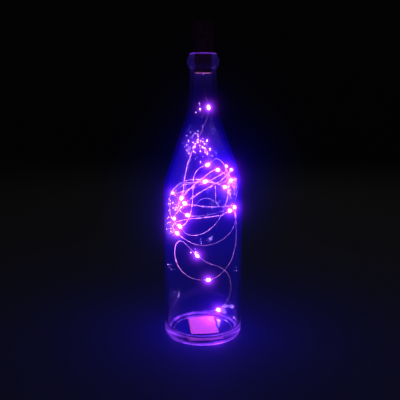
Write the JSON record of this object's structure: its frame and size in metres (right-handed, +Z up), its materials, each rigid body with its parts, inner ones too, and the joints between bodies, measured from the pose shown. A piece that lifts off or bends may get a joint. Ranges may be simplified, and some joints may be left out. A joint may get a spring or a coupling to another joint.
{
  "type": "cork bottle light",
  "caption": "Clear sloping-shoulder glass bottle lit from inside by a thin copper wire of small violet lamps that hangs from a cork-style stopper with button cells and a push switch.",
  "frame": {"origin": "centre of the bottle's base, at the level that it stands on", "axes": "+Z up along the bottle's axis; -Y faces the viewer of the picture, +X is to the viewer's right"},
  "size_m": [0.084, 0.084, 0.3339],
  "materials": {
    "clear_glass": "clear, polished",
    "label_paper": "matt white paper, blank",
    "copper_wire": "bare enamelled copper",
    "lamp_chip": "lit violet",
    "lamp_drop": "clear epoxy, lit violet",
    "cork": "agglomerated cork look",
    "glue": "translucent hot glue",
    "white_plastic": "moulded",
    "contact_brass": "plain",
    "cell_steel": "nickel-plated",
    "gasket": "moulded",
    "board": "green solder mask",
    "switch_metal": "pressed",
    "black_plastic": "moulded",
    "button_plastic": "moulded, dark brown"
  },
  "bodies": {
    "bottle": {"glass_bottle": "clear_glass", "base_label": "label_paper", "wire_lead": "copper_wire", "light_wire": "copper_wire", "led_chips": "lamp_chip", "led_drops": "lamp_drop"},
    "stopper": {"cork_sleeve": "cork", "exit_plug": "glue", "battery_tube": "white_plastic", "side_strip": "contact_brass", "negative_plate": "contact_brass", "cell_spring": "cell_steel", "cell_cans": "cell_steel", "cell_gaskets": "gasket", "cell_caps": "cell_steel"},
    "switch_cap": {"cap_shell": "cork", "circuit_board": "board", "board_screws": "cell_steel", "positive_contact": "contact_brass", "switch_can": "switch_metal", "driver_chip": "black_plastic", "chip_resistor": "black_plastic"},
    "button": {"button_cap": "button_plastic", "switch_plunger": "black_plastic"}
  },
  "joints": [
    {"name": "stopper_lift", "type": "slide", "parent": "bottle", "child": "stopper", "axis": [0, 0, 1], "range_m": [0, 0.03], "deforming": ["wire_lead"]},
    {"name": "cap_pull", "type": "slide", "parent": "stopper", "child": "switch_cap", "axis": [0, 0, 1], "range_m": [0, 0.018]},
    {"name": "button_press", "type": "slide", "parent": "switch_cap", "child": "button", "axis": [0, 0, -1], "range_m": [0, 0.0008], "stiffness_N_per_m": 900}
  ]
}
